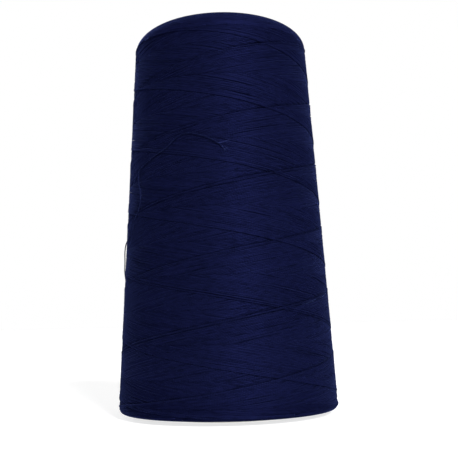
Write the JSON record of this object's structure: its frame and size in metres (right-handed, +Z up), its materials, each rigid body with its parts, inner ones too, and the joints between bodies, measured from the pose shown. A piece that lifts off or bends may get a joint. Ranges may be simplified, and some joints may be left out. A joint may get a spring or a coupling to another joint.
{
  "type": "cone of sewing thread",
  "caption": "Tapered, flangeless spool of navy sewing thread, cross-wound on a hollow moulded core, with a loose thread end.",
  "frame": {"origin": "centre of the core's foot, on the surface that the cone stands on", "axes": "+Z up the cone's axis towards the nose, -Y towards the viewer of the loose end"},
  "size_m": [0.0658, 0.0658, 0.1212],
  "materials": {
    "core_plastic": "off-white moulded polypropylene, satin",
    "label_paper": "blank uncoated paper label",
    "navy_thread": "dark navy twisted polyester sewing thread with a soft sheen"
  },
  "bodies": {
    "root": {"cone_core": "core_plastic", "core_label": "label_paper", "thread_package": "navy_thread", "loose_end": "navy_thread"}
  },
  "joints": []
}
